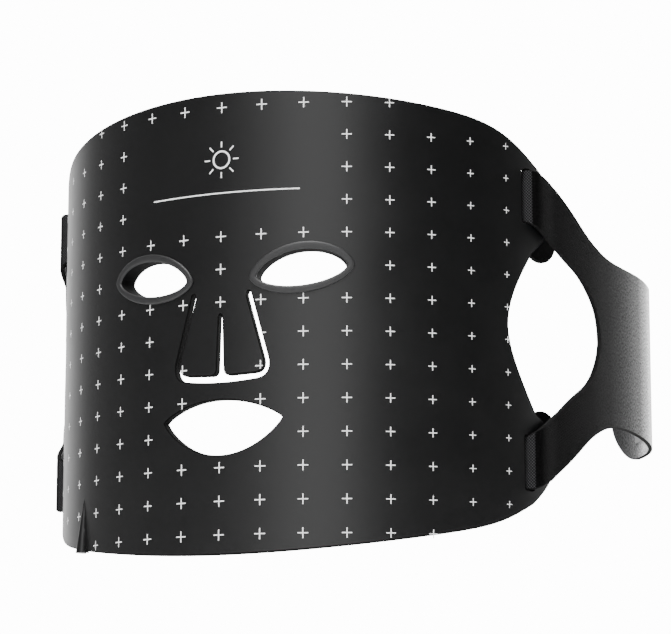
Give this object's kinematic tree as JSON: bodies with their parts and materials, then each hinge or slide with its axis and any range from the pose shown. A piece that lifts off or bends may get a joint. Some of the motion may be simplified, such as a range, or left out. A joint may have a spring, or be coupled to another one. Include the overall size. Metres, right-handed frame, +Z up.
{
  "type": "led face mask",
  "caption": "Curved flexible silicone light-therapy face mask with eye, nose and mouth openings, hidden lamps and a split strap wing at each side.",
  "frame": {"origin": "point on the skin-side face of the mask, on its plane of symmetry at the height of the eyes", "axes": "+X towards the wearer's left, +Y from the face towards the back of the head, +Z up; the printed front faces -Y"},
  "size_m": [0.301, 0.264, 0.2035],
  "materials": {
    "silicone_black": "satin",
    "silicone_liner": "satin",
    "silicone_grey": "matte",
    "stiffener": "matte",
    "circuit": "satin",
    "led_red": "gloss",
    "led_infrared": "gloss",
    "print_white": "matte print",
    "socket_plastic": "satin",
    "contact_metal": "plated",
    "strap_knit": "fine knit",
    "hook_tape": "hook tape",
    "loop_tape": "loop tape"
  },
  "bodies": {
    "mask": {"outer_shell": "silicone_black", "inner_liner": "silicone_liner", "slot_plates": "stiffener", "flex_circuit": "circuit", "leds_red": "led_red", "leds_infrared": "led_infrared", "printed_marks": "print_white", "forehead_emblem": "print_white", "eye_insert_left": "silicone_grey", "eye_insert_right": "silicone_grey", "inlet_cover": "silicone_black", "inlet_socket": "socket_plastic", "inlet_contacts": "contact_metal", "inlet_lead": "circuit", "strap_fold_upper_left": "strap_knit", "strap_fold_upper_right": "strap_knit", "strap_fold_lower_left": "strap_knit", "strap_fold_lower_right": "strap_knit", "loop_pad_upper_left": "loop_tape", "loop_pad_upper_right": "loop_tape", "loop_pad_lower_left": "loop_tape", "loop_pad_lower_right": "loop_tape"},
    "nose_flap_left": {"flap_skin_left": "silicone_black", "flap_liner_left": "silicone_liner", "flap_mark_left": "print_white"},
    "nose_flap_right": {"flap_skin_right": "silicone_black", "flap_liner_right": "silicone_liner", "flap_mark_right": "print_white"},
    "strap_left": {"wing_left": "strap_knit", "closure_hook_left": "hook_tape"},
    "strap_right": {"wing_right": "strap_knit", "closure_loop_right": "loop_tape"},
    "tail_upper_left": {"strap_tail_upper_left": "strap_knit", "hook_pad_upper_left": "hook_tape"},
    "tail_upper_right": {"strap_tail_upper_right": "strap_knit", "hook_pad_upper_right": "hook_tape"},
    "tail_lower_left": {"strap_tail_lower_left": "strap_knit", "hook_pad_lower_left": "hook_tape"},
    "tail_lower_right": {"strap_tail_lower_right": "strap_knit", "hook_pad_lower_right": "hook_tape"}
  },
  "joints": [
    {"name": "nose_flap_left_bend", "type": "hinge", "parent": "mask", "child": "nose_flap_left", "pos_m": [0.00075, -0.004, -0.0183], "axis": [-0.7934, -0.0389, -0.6074], "range_deg": [0, 25], "stiffness_Nm_per_rad": 0.02},
    {"name": "nose_flap_right_bend", "type": "hinge", "parent": "mask", "child": "nose_flap_right", "pos_m": [-0.00075, -0.004, -0.0183], "axis": [-0.7934, 0.0389, 0.6074], "range_deg": [0, 25], "stiffness_Nm_per_rad": 0.02},
    {"name": "strap_left_bend", "type": "hinge", "parent": "mask", "child": "strap_left", "pos_m": [0.12385, 0.0824, -0.0203], "axis": [0, 0, -1], "range_deg": [-25, 60], "stiffness_Nm_per_rad": 0.05},
    {"name": "strap_right_bend", "type": "hinge", "parent": "mask", "child": "strap_right", "pos_m": [-0.12385, 0.0824, -0.0203], "axis": [0, 0, 1], "range_deg": [-35, 50], "stiffness_Nm_per_rad": 0.05},
    {"name": "tail_upper_left_peel", "type": "hinge", "parent": "mask", "child": "tail_upper_left", "pos_m": [0.11147, 0.069, 0.0355], "axis": [0, 0, 1], "range_deg": [0, 40], "stiffness_Nm_per_rad": 0.005},
    {"name": "tail_upper_right_peel", "type": "hinge", "parent": "mask", "child": "tail_upper_right", "pos_m": [-0.11147, 0.069, 0.0355], "axis": [0, 0, -1], "range_deg": [0, 40], "stiffness_Nm_per_rad": 0.005},
    {"name": "tail_lower_left_peel", "type": "hinge", "parent": "mask", "child": "tail_lower_left", "pos_m": [0.11147, 0.069, -0.0779], "axis": [0, 0, 1], "range_deg": [0, 40], "stiffness_Nm_per_rad": 0.005},
    {"name": "tail_lower_right_peel", "type": "hinge", "parent": "mask", "child": "tail_lower_right", "pos_m": [-0.11147, 0.069, -0.0779], "axis": [0, 0, -1], "range_deg": [0, 40], "stiffness_Nm_per_rad": 0.005}
  ]
}
